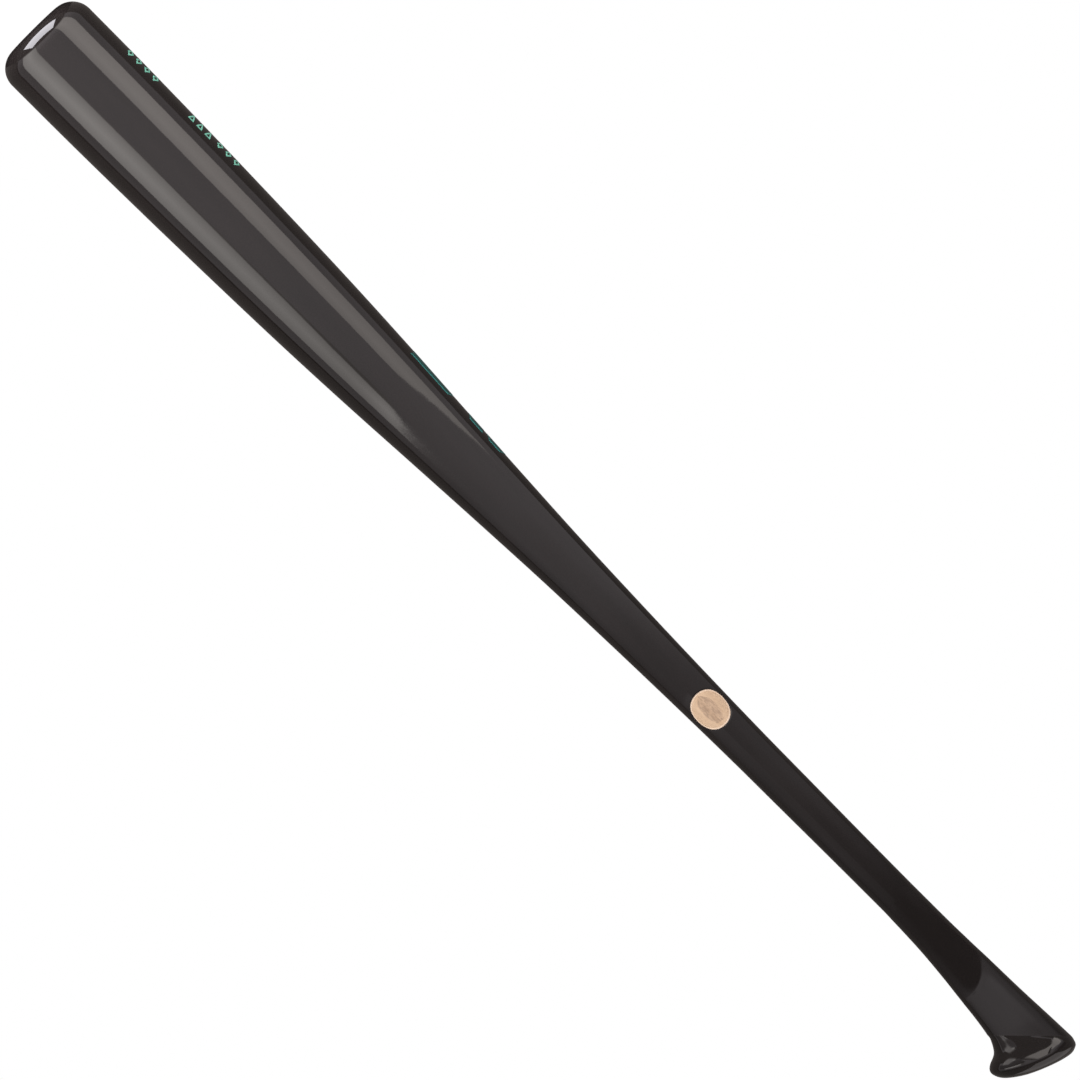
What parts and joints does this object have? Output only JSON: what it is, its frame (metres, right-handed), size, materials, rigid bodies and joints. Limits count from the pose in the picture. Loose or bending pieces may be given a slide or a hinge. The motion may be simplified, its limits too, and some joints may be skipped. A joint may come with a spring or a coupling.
{
  "type": "baseball bat",
  "caption": "One-piece wooden baseball bat with a round barrel, long taper, slim handle and slanted axe-style knob, gloss black with a bare-wood window on the handle.",
  "frame": {"origin": "middle of the flat rim of the barrel end, on the axis of the turned barrel", "axes": "+Z along the bat from the barrel end to the knob; +X towards the lip of the knob; -Y towards the side with the bare-wood window"},
  "size_m": [0.0646, 0.063, 0.8382],
  "materials": {
    "maple": "sanded, natural colour",
    "lacquer": "high gloss black",
    "varnish": "clear gloss",
    "ink": "ink soaked into bare wood",
    "mint_print": "printed, gloss",
    "teal_print": "printed, gloss"
  },
  "bodies": {
    "root": {"maple_billet": "maple", "black_lacquer": "lacquer", "window_varnish": "varnish", "ink_dot": "ink", "model_marks": "mint_print", "side_emblem": "teal_print"}
  },
  "joints": []
}
